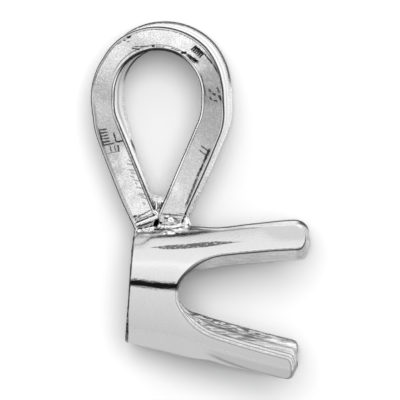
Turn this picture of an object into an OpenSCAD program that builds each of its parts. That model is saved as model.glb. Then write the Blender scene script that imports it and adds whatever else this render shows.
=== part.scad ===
// A four-prong pendant setting: a tapered collar with four prongs for a round stone,
// and a teardrop loop of flat strip, the bail, soldered on top of the collar.
// The part lies on its side, as it rests on a table: Z is up, the bail points to +Y
// and the prongs point to +X. All sizes are in millimetres.

/* [Collar and prongs] */
// Outer radius of the collar at its back end
base_r = 1.51; // [1.4:0.01:1.6]
// Outer radius at the bottom of the notches
neck_r = 1.71; // [1.65:0.01:1.8]
// Outer radius at the prong tips
tip_r = 2.49; // [2.3:0.01:2.7]
// How far the prongs bow out of a straight cone, half way along
flare_bow = 0.06; // [0:0.01:0.1]
// Thickness of the metal
wall = 0.48; // [0.4:0.01:0.55]
// Length from the back end to the bottom of the notches
band_len = 1.21; // [1.1:0.01:1.4]
// Length from the back end to the outer edge of the prong tips
head_len = 4.34; // [4:0.01:4.8]
// Angle of the filed back end to a square cut
base_cut_angle = 1.4; // [0:0.1:3]

/* [Prongs and notches] */
// Width of a prong where its straight part starts
prong_root_w = 0.92; // [0.8:0.01:1]
// Width of a prong at its tip
prong_tip_w = 0.73; // [0.6:0.01:0.8]
// Radius of the rounded end of a prong
prong_end_r = 0.5; // [0.48:0.01:0.6]
// How far the middle of that round end lies toward the front or back notch
prong_end_skew = 0.08; // [0:0.01:0.1]
// Radius of the curve between a prong and the collar
root_curve_r = 1.33; // [1.28:0.01:1.4]
// Distance from the bottom of the notches to the straight part of a prong
root_curve_len = 1.14; // [1.1:0.01:1.2]
// Radius of the round bottom of a notch
notch_r = 0.62; // [0.58:0.01:0.66]
// Angle at which each side of a notch opens toward the tips
notch_flare = 10.4; // [9:0.1:11]

/* [Bail] */
// Outer radius of the loop
bail_r = 1.755; // [1.6:0.005:1.9]
// Thickness of the strip
strip_t = 0.625; // [0.5:0.005:0.7]
// Width of the strip at the top of the loop
strip_top_w = 2; // [1.6:0.05:2.2]
// Width of the strip at its feet
strip_foot_w = 1.25; // [1:0.05:1.5]
// Angle of each leg to the middle line of the loop
leg_angle = 22.6; // [20:0.1:24]
// Length of the straight sides between the round top and the legs, outside
side_len = 0.39; // [0.3:0.01:0.45]
// The same length inside the loop
inner_side_len = 0.25; // [0.2:0.01:0.3]
// Distance from the middle of the round top to the ends of the legs
leg_drop = 3.58; // [3.5:0.01:3.7]
// Lean of the loop toward the back end of the collar
bail_lean = 3.9; // [0:0.1:6]
// Small twist and nod of the loop, as it was soldered
bail_twist = -3; // [-4:0.5:4]
bail_nod = 1.5; // [-2:0.5:2]

/* [Solder] */
// Thickness of the solder under the feet
seam_t = 0.1; // [0.05:0.01:0.15]
// Length of that solder along the collar
pad_len = 1.27; // [1.2:0.01:1.3]
// Height of the solder web between the legs
web_h = 0.42; // [0.3:0.01:0.5]
// Width of that web along the collar's girth
web_w = 0.9; // [0.6:0.05:1]

/* [Lie on the table] */
// Direction of the prongs on the table, seen from above
head_turn = -5; // [-10:1:0]
// Roll and pitch that the part settles into on its three lowest points
rest_roll = -4.07; // [-6:0.01:-2]
rest_pitch = -6.63; // [-8:0.01:-5]

/* [Hidden] */

$fn = 64;
metal = [0.86, 0.86, 0.87];
eps = 0.01;

// Middle of the part's footprint and its lowest point, from the middle of the back end
rest_mid = [1.796, 2.2, -1.554];
// Middle of the round top of the loop, from the middle of the collar's back end
bail_x = 0.33;
bail_y = 5.07;
// Number of straight steps that make the bowed outside of a prong
flare_steps = 6;
// Half width of the block that takes a prong's root curves
root_reach = neck_r * 0.75;
// Width of the solder pad, a little past the feet
pad_w = strip_foot_w + 0.12;
// Angle of the wall at the prong tips
tip_slope = atan((tip_r - neck_r - 4 * flare_bow * (1 - 2 / flare_steps)) / (head_len - band_len));

// Outer radius of the metal at a distance from the back end
function outer_r(x) =
    let (k = (x - band_len) / (head_len - band_len))
    k < 0 ? neck_r + (neck_r - base_r) / band_len * (x - band_len)
          : neck_r + (tip_r - neck_r) * k + 4 * flare_bow * k * (1 - k);

// Distances from the back end at which the outside of the wall has a corner
stations = [-0.2, for (i = [0 : flare_steps]) band_len + (head_len - band_len) * i / flare_steps];

// Section of the wall: out along the outside, round the square tip, back along the inside
module wall_section() {
    outside = [for (x = stations) [outer_r(x), x]];
    tip = [tip_r - wall * cos(tip_slope), head_len + wall * sin(tip_slope)];
    inside = [for (i = [len(stations) - 2 : -1 : 0]) [outer_r(stations[i]) - wall, stations[i]]];
    polygon(concat(outside, [tip], inside));
}

// The whole cone of metal, before the notches are cut, along +X
module cone_wall() {
    rotate([0, 90, 0])
        rotate_extrude()
            wall_section();
}

// Outline of one prong with its two root curves, seen along the radius of the cone
module prong_outline() {
    straight_x = band_len + root_curve_len;
    end_x = head_len + wall;
    polygon([
        [band_len, -prong_root_w / 2], [straight_x, -prong_root_w / 2],
        [end_x, -prong_tip_w / 2], [end_x, prong_tip_w / 2],
        [straight_x, prong_root_w / 2], [band_len, prong_root_w / 2]
    ]);
    difference() {
        translate([band_len, -root_reach])
            square([root_curve_len, 2 * root_reach]);
        for (side = [-1, 1])
            translate([straight_x, side * (prong_root_w / 2 + root_curve_r)])
                circle(root_curve_r);
    }
}

// Outline of the round end of a prong, seen square to its outer face, ending at x = 0
module round_end_outline() {
    translate([-2 * head_len, -root_reach])
        square([2 * head_len - prong_end_r, 2 * root_reach]);
    translate([-prong_end_r, prong_end_skew])
        circle(prong_end_r);
}

// Block that bounds one prong, with its outer face toward +Z
module prong_block() {
    intersection() {
        linear_extrude(2 * tip_r)
            prong_outline();
        translate([head_len, 0, tip_r])
            rotate([0, -tip_slope, 0])
                linear_extrude(4 * tip_r, center = true)
                    round_end_outline();
    }
}

// Outline of the cutter for two opposite notches: a round bottom and sides that open
module notch_outline() {
    tangent_x = band_len + notch_r * (1 - sin(notch_flare));
    tangent_y = notch_r * cos(notch_flare);
    end_x = head_len + 2 * wall;
    end_y = tangent_y + (end_x - tangent_x) * tan(notch_flare);
    translate([band_len + notch_r, 0])
        circle(notch_r);
    polygon([[tangent_x, -tangent_y], [end_x, -end_y], [end_x, end_y], [tangent_x, tangent_y]]);
}

// Collar with its four prongs, hollow, along +X
module head() {
    difference() {
        intersection() {
            cone_wall();
            union() {
                rotate([0, 90, 0])
                    cylinder(r = 2 * tip_r, h = 2 * (band_len + 0.05), center = true);
                for (i = [0 : 3])
                    rotate([45 + 90 * i, 0, 0])
                        mirror([0, i % 2, 0])
                            prong_block();
            }
        }
        for (a = [0, 90])
            rotate([a, 0, 0])
                linear_extrude(4 * tip_r, center = true)
                    notch_outline();
    }
}

// Filled teardrop: a round top, short straight sides and two legs that close toward -Y
module teardrop(r, side, drop) {
    tangent = [r * cos(leg_angle), -side - r * sin(leg_angle)];
    foot_x = max(0, tangent[0] - (drop + tangent[1]) * tan(leg_angle));
    circle(r);
    translate([-r, -side])
        square([2 * r, side]);
    translate([0, -side])
        circle(r);
    polygon([
        [-tangent[0], tangent[1]], [-foot_x, -drop],
        [foot_x, -drop], [tangent[0], tangent[1]]
    ]);
}

// Distance below the middle of the round top at which the insides of the legs meet
inner_r = bail_r - strip_t;
inner_apex = inner_side_len + inner_r * sin(leg_angle) + inner_r * cos(leg_angle) / tan(leg_angle);

// The loop of strip in its own frame: its top up, its width along Z
module bail_loop() {
    intersection() {
        linear_extrude(2 * strip_top_w, center = true)
            difference() {
                teardrop(bail_r, side_len, leg_drop);
                teardrop(inner_r, inner_side_len, inner_apex);
            }
        rotate([0, -90, 0])
            linear_extrude(3 * bail_r, center = true)
                polygon([
                    [-strip_foot_w / 2, -leg_drop - eps], [strip_foot_w / 2, -leg_drop - eps],
                    [strip_top_w / 2, 0], [strip_top_w / 2, bail_r + eps],
                    [-strip_top_w / 2, bail_r + eps], [-strip_top_w / 2, 0]
                ]);
    }
}

// Solder that fills the crotch between the legs, in the frame of the loop
module solder_web() {
    top_x = (web_h + eps) * tan(leg_angle);
    translate([0, -inner_apex, 0])
        linear_extrude(web_w, center = true)
            polygon([[-eps, -eps], [eps, -eps], [top_x, web_h], [-top_x, web_h]]);
}

// Low pad of solder between the feet and the collar
module solder_pad() {
    intersection() {
        rotate([0, 90, 0])
            cylinder(r1 = base_r + seam_t, r2 = outer_r(pad_len) + seam_t, h = pad_len);
        translate([0, 0, -pad_w / 2])
            cube([pad_len, 2 * base_r, pad_w]);
    }
}

// Everything in the frame of the collar: its axis along +X, the bail toward +Y
module soldered_setting() {
    difference() {
        union() {
            head();
            solder_pad();
            translate([bail_x, bail_y, 0])
                rotate([bail_nod, bail_twist, bail_lean]) {
                    bail_loop();
                    solder_web();
                }
        }
        // Bore of the collar, which the feet and the solder leave open
        rotate([0, 90, 0])
            translate([0, 0, stations[0]])
                cylinder(r1 = outer_r(stations[0]) - wall, r2 = outer_r(pad_len) - wall,
                         h = pad_len - stations[0]);
        // Filed back end
        rotate([0, 0, base_cut_angle])
            translate([-base_r, -2 * base_r, -2 * base_r])
                cube([base_r, 3 * base_r + eps, 4 * base_r]);
    }
}

module pendant_setting() {
    color(metal)
        translate(-rest_mid)
            rotate([rest_roll, rest_pitch, 0])
                rotate([0, 0, head_turn])
                    soldered_setting();
}

pendant_setting();
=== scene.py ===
"""Looks for a four-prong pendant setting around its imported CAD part.

The metal is one soldered piece. It is described as a distance field in millimetres, in the
frame of the collar: the collar's axis is +X, the bail is toward +Y and +Z is up. The field is
turned into one closed mesh with its vertices on the edges of the form, and that mesh is laid
on the table with the same turn as the CAD part.
"""

import math

import bpy
import numpy as np
from mathutils import Matrix, Vector


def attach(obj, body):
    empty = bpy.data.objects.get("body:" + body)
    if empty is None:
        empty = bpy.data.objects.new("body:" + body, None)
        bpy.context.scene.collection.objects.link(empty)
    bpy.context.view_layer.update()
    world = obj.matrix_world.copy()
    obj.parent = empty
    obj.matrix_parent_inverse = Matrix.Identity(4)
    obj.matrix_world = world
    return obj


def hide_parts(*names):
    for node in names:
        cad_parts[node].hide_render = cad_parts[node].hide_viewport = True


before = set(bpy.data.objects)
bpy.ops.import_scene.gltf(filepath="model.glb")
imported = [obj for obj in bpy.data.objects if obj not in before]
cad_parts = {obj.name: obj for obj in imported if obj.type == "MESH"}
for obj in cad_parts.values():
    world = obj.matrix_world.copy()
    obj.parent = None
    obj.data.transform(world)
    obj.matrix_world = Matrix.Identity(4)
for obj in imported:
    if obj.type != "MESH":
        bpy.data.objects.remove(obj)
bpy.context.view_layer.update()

MM = 0.001

# Collar and prongs, the same values as the CAD part, in millimetres and degrees
BASE_R = 1.51
NECK_R = 1.71
TIP_R = 2.49
FLARE_BOW = 0.06
WALL = 0.48
BAND_LEN = 1.21
HEAD_LEN = 4.34
BASE_CUT = math.radians(1.4)
PRONG_ROOT_W = 0.92
PRONG_TIP_W = 0.73
PRONG_END_R = 0.5
PRONG_END_SKEW = 0.08
ROOT_CURVE_R = 1.33
ROOT_CURVE_LEN = 1.14
NOTCH_R = 0.62
NOTCH_FLARE = math.radians(10.4)
FLARE_STEPS = 6
TIP_SLOPE = math.atan(
    (TIP_R - NECK_R - 4 * FLARE_BOW * (1 - 2 / FLARE_STEPS)) / (HEAD_LEN - BAND_LEN)
)

# Length of the collar that no prong bounds
COLLAR_ZONE = 1.26

# Bail, mostly the same values as the CAD part
BAIL_MID = (0.33, 5.085, 0.0)
BAIL_TURN = (2.3, -3.0, 3.9)
BAIL_R = 1.755
STRIP_T = 0.625
STRIP_TOP_W = 2.0
LEG_ANGLE = math.radians(22.6)
SIDE_LEN = 0.39
INNER_SIDE_LEN = 0.25
LEG_DROP = 3.58
INNER_R = BAIL_R - STRIP_T
TAPER_START = -0.2
TAPER = 0.118
TAPER_BLEND = 0.5

# Solder: lines where the legs end, ridges, pad and web, in millimetres
LEFT_JOINT = 2.74
RIGHT_JOINT = 3.11
RIDGE_STEP = 0.115
RIDGE_HEIGHT = 0.02
RIDGE_PHASE = 1.9
LEG_MID_N = 1.56
LEG_HALF_N = 0.31
FOOT_HALF_W = 0.68
FOOT_END = 3.6
FOOT_LUMPS = 0.6
LUMPS = 0.02
LUMP_GRAIN = 0.008
PAD_START = 0.02
PAD_END = 1.3
PAD_T = 0.07
PAD_EXTRA_W = 0.03
WEB_TOP = -2.78
WEB_HOLLOW = 0.9
WEB_N = 1.26
WEB_HALF_W = 0.4
WEB_END = 3.5

# Beads of solder, the same in front and behind, and a pit: start, end and radius
BEADS = [
    ((0.04, 1.61, 0.64), (0.50, 1.84, 0.64), 0.05),
    ((0.11, 1.46, 0.64), (0.44, 1.56, 0.64), 0.05),
    ((0.88, 1.81, 0.64), (0.90, 1.79, 0.64), 0.09),
    ((0.77, 1.61, 0.64), (1.26, 1.67, 0.60), 0.05),
    ((0.90, 1.49, 0.66), (0.98, 1.49, 0.66), 0.07),
    ((1.22, 1.92, 0.45), (1.29, 1.70, 0.50), 0.07),
    ((0.47, 2.22, 0.36), (0.48, 2.05, 0.48), 0.035),
    ((0.46, 1.97, 0.60), (0.50, 1.93, 0.60), 0.06),
    ((-0.06, 1.80, 0.50), (-0.03, 1.68, 0.52), 0.05),
]
PIT = ((0.56, 1.72, 0.75), (0.54, 1.62, 0.50), 0.10)

# Small differences of the hand-made head from its even CAD form, in millimetres and degrees
BASE_FLARE = 0.03
BASE_BACK = 0.015
BOTTOM_NOTCH_SHIFT = 0.45
FRONT_NOTCH_SHIFT = 0.055
BACK_NOTCH_SHIFT = -0.08
NOTCH_SIDE = (0.68, 1.0)
LOWER_FILL = 0.1
LOWER_FILL_START, LOWER_FILL_END = (1.7, 2.5), (2.9, 4.1)
# Plane along which the lower side is filed straight: its normal, distance and rise at the tip
LOWER_PLANE = (-0.1205, -0.992, 0.0369)
LOWER_PLANE_AT = 1.513
LOWER_PLANE_RISE = 0.04
LOWER_RISE_X = (3.5, 4.2)

# How far the outside of the loop lies out of its even curve, by the angle from its top to the right
OUTER_FIT = [
    (-172, 0.0), (-162, 0.045), (-142, 0.035), (-127, 0.015), (-111, -0.045), (-94, 0.0), (-77, -0.02),
    (-59, -0.045), (-35, 0.0), (45, 0.0), (62, -0.03), (78, -0.05), (90, -0.04), (105, -0.015),
    (120, 0.01), (140, 0.02), (152, 0.015), (165, -0.01), (172, 0.0),
]
# For each prong from the lower front one: its turn, extra half width and extra length at the tip
PRONG_FIT = [(1.0, 0.05, 0.02), (2.2, 0.0, 0.0), (2.3, 0.12, -0.07), (-0.5, 0.06, 0.05)]
# Share of a prong's length at which that fit stops growing, past its tip
FIT_END = 1.2

# The left leg's inner side is slanted toward the back, and a lip is left above it
LEFT_LEG = (0.3, 2.0)
REAR_CUT = 0.12
REAR_LIP = 0.03
REAR_SIDE = (-0.4, 0.9)

# Flat zone on the upper side of the collar: angles round its axis and tips of the normal there
FLAT_ANGLES = (38, 44, 51, 64, 80)
FLAT_TIPS = (0, -5, -10, -15, 0)
FLAT_START, FLAT_END = (0.1, 0.5), (3.2, 3.9)

# How the part lies on the table
HEAD_TURN = -5.0
REST_ROLL = -4.07
REST_PITCH = -6.63
REST_MID = (1.796, 2.2, -1.554)

# Roundings and facets left by polishing, and the fillets of the solder
WALL_EDGE_R = 0.05
PRONG_CORNER_R = 0.06
NOTCH_EDGE_R = 0.1
NECK_BLEND = 0.04
LOWER_EDGE_R = 0.04
BASE_EDGE = 0.035
STRIP_EDGE = 0.055
STRIP_EDGE_LEAN = 1.7
STRIP_END_R = 0.03
BURR = 0.028
BURR_START = (-0.09, -0.05)
FOOT_EDGE_R = 0.05
FOOT_END_R = 0.03
FOOT_BLEND_R = 0.05
WEB_EDGE_R = 0.08
WEB_BLEND_R = 0.04
BEAD_BLEND_R = 0.025
PIT_EDGE_R = 0.02
BORE_EDGE_R = 0.03
SOLDER_BLEND_R = 0.1

# Waves of the hand-made surfaces
STRIP_WAVE = 0.008
HEAD_WAVE = 0.0015

# Painted reflections on the satin faces: their tone, in lighter and darker patches, by the angle round the
# loop from its top toward the right
FACE_REFLECTION_TONES = [
    (-172, 1.12), (-156, 1.02), (-146, 0.74), (-128, 0.68), (-95, 0.86), (-60, 1.0), (-42, 1.18),
    (-10, 1.18), (15, 1.3), (38, 1.08), (55, 0.8), (76, 0.57), (106, 0.56), (130, 0.6),
    (150, 0.80), (172, 0.92),
]

# Tone of the studio by the angle round the collar's axis, from over the part toward the bail
SWING_TONES = [
    (-180, 0.5), (-92, 0.74), (-8, 0.91), (18, 0.98), (40, 1.1), (49, 1.24), (58, 1.1), (78, 1.07),
    (90, 0.9), (110, 0.86), (128, 0.55), (170, 0.5),
]

# Marks of tools on the front of the strip: start and end (across, up), half width, tone
STRIP_MARKS = [
    (-1.53, -0.94, -1.40, -1.41, 0.018, 0.15), (-1.14, -1.03, -1.08, -1.27, 0.017, 0.15),
    (-1.08, -1.27, -0.90, -1.24, 0.018, 0.1), (-1.41, -1.37, -1.12, -1.30, 0.017, 0.2),
    (-1.03, -1.36, -1.00, -1.52, 0.018, 0.15), (-1.12, -1.36, -1.09, -1.50, 0.014, 0.35),
    (-1.24, -1.37, -1.20, -1.52, 0.014, 0.35), (-1.32, -1.59, -1.01, -1.51, 0.010, 0.5),
    (-0.82, 1.45, -0.73, 1.48, 0.022, 0.06), (-0.92, 1.37, -0.85, 1.39, 0.012, 0.25),
    (-0.82, 1.33, -0.77, 1.35, 0.012, 0.3), (-1.07, 1.28, -0.99, 1.33, 0.010, 0.35),
    (-0.70, 1.17, -0.50, 1.15, 0.016, 0.08), (-0.65, 1.22, -0.27, 1.24, 0.011, 0.2),
    (-0.17, 1.25, -0.11, 1.24, 0.018, 0.04), (-0.07, 1.23, 0.16, 1.23, 0.010, 0.3),
    (0.32, 1.20, 0.56, 1.12, 0.010, 0.35), (0.60, 1.09, 0.71, 1.09, 0.030, 0.0),
    (0.74, 1.04, 1.03, 0.85, 0.034, 0.0), (0.79, 0.95, 0.95, 0.82, 0.012, 0.2),
    (0.92, 1.24, 1.10, 1.03, 0.012, 0.25), (0.95, 1.26, 1.16, 1.07, 0.026, 0.0),
    (1.18, 1.09, 1.42, 0.80, 0.015, 0.1), (1.42, 0.80, 1.60, 0.53, 0.015, 0.15),
    (1.33, 0.14, 1.38, 0.08, 0.020, 0.3), (1.42, 0.05, 1.50, 0.01, 0.022, 0.25),
    (1.36, -0.05, 1.40, -0.12, 0.018, 0.3), (1.54, 0.20, 1.60, 0.08, 0.020, 0.2),
    (1.59, 0.00, 1.66, -0.13, 0.024, 0.15), (1.46, -0.12, 1.55, -0.16, 0.018, 0.3),
    (1.11, 0.55, 1.25, -0.02, 0.011, 0.35), (1.36, -1.40, 1.20, -1.78, 0.026, 0.1),
    (1.20, -1.78, 1.04, -2.14, 0.024, 0.1), (1.06, -2.11, 0.74, -2.93, 0.026, 0.3),
    (1.13, -1.32, 1.37, -1.48, 0.016, 0.3), (1.08, -1.43, 1.29, -1.58, 0.013, 0.4),
]
# Rows of short marks: first start, step to the next, reach, count, half width, tone, unevenness
MARK_ROWS = [
    ((-1.51, -0.97), (0.022, -0.078), (0.18, 0.03), 5, 0.018, 0.25, 0.0),
    ((-0.78, -1.75), (0.033, -0.1), (0.12, -0.035), 12, 0.016, 0.88, 0.05),
    ((0.97, 1.28), (0.042, -0.038), (-0.12, -0.115), 6, 0.019, 0.0, 0.0),
]

# Painted highlights and painted shade on the solder seen from the front, on its ridges and in its crevices:
# start and end (along the collar, up), half width, tone, above 1 for a highlight
SOLDER_HIGHLIGHTS_AND_SHADE = [
    (-0.09, 1.80, -0.02, 1.83, 0.022, 0.3), (0.02, 1.81, 0.35, 2.02, 0.013, 0.3),
    (0.06, 1.75, 0.41, 1.94, 0.010, 0.5), (-0.01, 1.65, 0.49, 1.93, 0.014, 0.25),
    (0.00, 1.61, 0.56, 1.86, 0.026, 1.35), (0.00, 1.55, 0.12, 1.61, 0.015, 0.15),
    (0.15, 1.62, 0.44, 1.72, 0.015, 0.2), (0.49, 1.62, 0.53, 1.76, 0.055, 0.0),
    (0.51, 1.76, 0.57, 1.80, 0.025, 0.05), (0.60, 1.71, 0.64, 1.70, 0.028, 0.0),
    (0.05, 1.50, 0.16, 1.52, 0.015, 0.2), (0.23, 1.54, 0.29, 1.57, 0.015, 0.15),
    (0.36, 1.59, 0.41, 1.61, 0.018, 0.1), (0.02, 1.44, 0.46, 1.55, 0.026, 1.35),
    (0.01, 1.38, 0.58, 1.46, 0.030, 0.4), (0.58, 1.46, 0.75, 1.54, 0.028, 0.4),
    (0.75, 1.54, 0.99, 1.54, 0.014, 0.4), (1.06, 1.47, 1.12, 1.48, 0.020, 0.15),
    (0.63, 1.94, 1.19, 1.95, 0.016, 0.45), (0.71, 1.83, 0.81, 1.84, 0.013, 0.1),
    (0.75, 1.89, 0.81, 1.89, 0.022, 1.35), (0.84, 1.82, 0.93, 1.79, 0.045, 1.35),
    (0.93, 1.87, 1.12, 1.79, 0.014, 0.45), (1.24, 2.01, 1.27, 2.00, 0.024, 0.0),
    (0.58, 1.61, 0.93, 1.64, 0.030, 1.35), (0.93, 1.64, 1.25, 1.75, 0.030, 1.35),
    (0.60, 1.54, 0.93, 1.58, 0.013, 0.35), (0.93, 1.58, 1.26, 1.68, 0.013, 0.35),
    (0.74, 1.44, 0.77, 1.46, 0.022, 1.35), (0.85, 1.46, 1.02, 1.47, 0.028, 1.35),
    (1.24, 1.87, 1.25, 1.78, 0.022, 1.35), (1.34, 1.74, 1.36, 1.73, 0.026, 0.1),
    (1.36, 1.73, 1.78, 1.72, 0.022, 0.4), (1.37, 1.66, 1.97, 1.67, 0.020, 0.55),
    (0.47, 2.17, 0.52, 1.94, 0.020, 1.35), (0.36, 2.20, 0.44, 2.05, 0.026, 0.6),
    (0.60, 2.22, 0.58, 2.07, 0.022, 0.6),
]
# Zone of z, toward the front, in which the painted highlights and shade on the solder set in
SOLDER_FRONT = (0.2, 0.3)

# Marks fade over this share of their half width. A dark one is drawn wider than it is listed
MARK_FADE = (0.7, 1.15)
DARK_MARK_WIDTH = 1.3
DARK_MARK_LEVEL = 0.6
MARK_STRETCH = 12

# Painted dark lines along the edges of the cut faces: depth below the outer face, fade, strength, upper or
# lower prongs
CUT_LINES = [
    (0.045, (0.0144, 0.036), 0.85, 1),
    (0.055, (0.009, 0.0225), 0.6, -1),
    (0.16, (0.012, 0.03), 0.55, -1),
    (0.36, (0.018, 0.045), 0.4, -1),
]

# Tone that 1 in the tables stands for, and the highest one that a table by angle can hold
BASE_TONE = 0.74
TABLE_TOP = 2.0

# Size of the cells that the distance field is meshed with, in millimetres
CELL = 0.032
MOST_TRIANGLES = 190000
# How strongly a cell's vertex is pulled to the middle of its crossings
PULL_TO_MIDDLE = 0.05
# Corners of the box that holds the whole setting
FIELD_LOW = (-1.75, -2.35, -2.35)
FIELD_HIGH = (4.65, 6.95, 2.35)


def turn(angles):
    """Rotation matrix for angles in degrees about X, then Y, then Z."""
    rx, ry, rz = (math.radians(a) for a in angles)
    return Matrix.Rotation(rz, 3, "Z") @ Matrix.Rotation(ry, 3, "Y") @ Matrix.Rotation(rx, 3, "X")


LAY = turn((REST_ROLL, REST_PITCH, 0)) @ turn((0, 0, HEAD_TURN))
BAIL_FRAME = np.array(turn(BAIL_TURN))


def round_max(a, b, radius):
    """Common part of two fields, with the edge between them rounded."""
    corner = np.hypot(np.maximum(a + radius, 0), np.maximum(b + radius, 0))
    return np.minimum(-radius, np.maximum(a, b)) + corner


def bevel_max(a, b, size, lean=1.0):
    """Common part of two fields, with a narrow flat facet on the edge between them."""
    facet = (lean * a + b + size) / math.hypot(1, lean)
    return round_max(round_max(a, facet, size / 4), b, size / 4)


def round_min(a, b, radius):
    """Two fields joined, with a fillet between them."""
    corner = np.hypot(np.maximum(radius - a, 0), np.maximum(radius - b, 0))
    return np.maximum(radius, np.minimum(a, b)) - corner


class Waves:
    """Smooth seeded noise between about -1 and 1, as a sum of sine waves."""

    def __init__(self, seed, length, count=10):
        rng = np.random.default_rng(seed)
        way = rng.normal(size=(count, 3))
        way /= np.linalg.norm(way, axis=1)[:, None]
        self.way = way * (2 * math.pi / (length * rng.uniform(0.8, 1.3, count)))[:, None]
        self.phase = rng.uniform(0, 2 * math.pi, count)
        self.gain = 1.4 / math.sqrt(count)

    def __call__(self, x, y, z):
        total = 0
        for (a, b, c), phase in zip(self.way, self.phase):
            total = total + np.sin(a * x + b * y + c * z + phase)
        return total * self.gain


hand_finish = Waves(3, 1.1)
strip_waves = Waves(11, 1.5)
solder_lumps = Waves(5, 0.34)
solder_grain = Waves(7, 0.15)


def outer_radius(x):
    """Outer radius of the cone of metal, and its slope, at a distance from the back end."""
    k = (x - BAND_LEN) / (HEAD_LEN - BAND_LEN)
    collar_slope = (NECK_R - BASE_R) / BAND_LEN
    collar = NECK_R + collar_slope * (x - BAND_LEN)
    prong = NECK_R + (TIP_R - NECK_R) * k + 4 * FLARE_BOW * k * (1 - k)
    prong_slope = (TIP_R - NECK_R + 4 * FLARE_BOW * (1 - 2 * k)) / (HEAD_LEN - BAND_LEN)
    gap = np.sqrt((collar - prong) ** 2 + NECK_BLEND**2)
    share = 0.5 + 0.5 * (prong - collar) / gap
    radius = (collar + prong + gap) / 2 - NECK_BLEND / 2
    return radius, collar_slope + (prong_slope - collar_slope) * share


def prong_field(x, y, z, index):
    """Block that bounds one prong. Index 0 is the lower front one, and they go round by 90."""
    turn_at_tip, extra, longer = PRONG_FIT[index]
    along = np.clip((x - BAND_LEN) / (HEAD_LEN - BAND_LEN), 0, FIT_END)
    angle = math.radians(45 + 90 * index) + math.radians(turn_at_tip) * along
    side = y * np.cos(angle) + z * np.sin(angle)
    up = z * np.cos(angle) - y * np.sin(angle)
    if index % 2:
        side = -side
    straight_x = BAND_LEN + ROOT_CURVE_LEN
    end_x = HEAD_LEN + WALL
    taper = (PRONG_ROOT_W - PRONG_TIP_W) / 2 / (end_x - straight_x)
    widen = extra * np.clip((x - straight_x) / (HEAD_LEN - straight_x), 0, FIT_END)
    straight = np.abs(side) - PRONG_ROOT_W / 2 - widen + taper * (x - straight_x)
    straight = straight / math.hypot(1, taper)
    curve_mid = PRONG_ROOT_W / 2 + ROOT_CURVE_R
    root = ROOT_CURVE_R - np.hypot(x - straight_x, np.abs(side) - curve_mid)
    outline = np.where(x > straight_x, straight, root)
    if index == 0:
        fill = LOWER_FILL * ramp(x, *LOWER_FILL_START) * (1 - ramp(x, *LOWER_FILL_END))
        outline = outline - fill * (side < 0)
    past_end = (x - HEAD_LEN - longer) * math.cos(TIP_SLOPE) + (up - TIP_R) * math.sin(TIP_SLOPE)
    before = np.minimum(past_end + PRONG_END_R, 0)
    past = np.maximum(past_end + PRONG_END_R, 0)
    tip = np.hypot(past, side - PRONG_END_SKEW) - PRONG_END_R - extra + before
    return np.maximum(round_max(outline, tip, PRONG_CORNER_R), -up)


def notch_field(x, side):
    """Cutter for two opposite notches: a round bottom and sides that open toward the tips."""
    mid_x = BAND_LEN + NOTCH_R
    along = x - mid_x
    across = np.abs(side)
    flank = across * math.cos(NOTCH_FLARE) - along * math.sin(NOTCH_FLARE) - NOTCH_R
    on_flank = along * math.cos(NOTCH_FLARE) + across * math.sin(NOTCH_FLARE) > 0
    return np.where(on_flank, flank, np.hypot(along, across) - NOTCH_R)


def wall_fields(x, y, z):
    """Distances past the outer face of the cone of metal and past its bore."""
    radius, slope = outer_radius(x)
    reach = np.hypot(y, z)
    lean = np.sqrt(1 + slope**2)
    return (reach - radius) / lean, (radius - WALL - reach) / lean


def base_field(x, y):
    """Distance past the filed back end."""
    flare = BASE_FLARE * np.maximum(-y, 0) ** 2
    return -(x * math.cos(BASE_CUT) + y * math.sin(BASE_CUT)) - flare - BASE_BACK


def cut_field(x, y, z):
    """Distance past the cut faces: prong sides, notches and tips."""
    reach = np.maximum(np.hypot(y, z), 0.1)
    for way, shift in ((-y, BOTTOM_NOTCH_SHIFT), (z, FRONT_NOTCH_SHIFT), (-z, BACK_NOTCH_SHIFT)):
        x = x - shift * ramp(way / reach, *NOTCH_SIDE)
    keep = x - COLLAR_ZONE
    for index in range(4):
        keep = np.minimum(keep, prong_field(x, y, z, index))
    notches = np.minimum(notch_field(x, y), notch_field(x, z))
    return round_max(keep, -notches, NOTCH_EDGE_R)


def teardrop(across, up, radius, side):
    """Filled teardrop: a round top, short straight sides and legs that close downward."""
    below = up + side
    n = across * math.cos(LEG_ANGLE) - below * math.sin(LEG_ANGLE)
    t = -across * math.sin(LEG_ANGLE) - below * math.cos(LEG_ANGLE)
    low = np.where(t > 0, n, np.hypot(across, below))
    return np.where(up > 0, np.hypot(across, up), np.where(below > 0, across, low)) - radius


def to_bail(x, y, z):
    """Coordinates in the frame of the loop: across, up and through its width."""
    dx, dy, dz = x - BAIL_MID[0], y - BAIL_MID[1], z - BAIL_MID[2]
    return tuple(
        BAIL_FRAME[0, i] * dx + BAIL_FRAME[1, i] * dy + BAIL_FRAME[2, i] * dz for i in range(3)
    )


def ring_fields(across, up):
    """Distances past the outside and past the inside of the loop."""
    reach = np.abs(across)
    angles, extra = zip(*OUTER_FIT)
    uneven = np.interp(np.degrees(np.arctan2(across, up)), angles, extra)
    outside = teardrop(reach, up, BAIL_R, SIDE_LEN) - uneven
    return outside, -teardrop(reach, up, INNER_R, INNER_SIDE_LEN)


def strip_half_width(up):
    """Half width of the strip, which narrows smoothly toward its feet."""
    drop = np.maximum(TAPER_START - up, 0)
    return STRIP_TOP_W / 2 - TAPER * (np.sqrt(drop**2 + TAPER_BLEND**2) - TAPER_BLEND)


def face_fields(across, up, through):
    """Distances past the flat faces of the strip: even ones, and wavy ones as it has."""
    even = np.abs(through) - strip_half_width(up)
    return even, even + STRIP_WAVE * strip_waves(across, up, np.sign(through))


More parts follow.
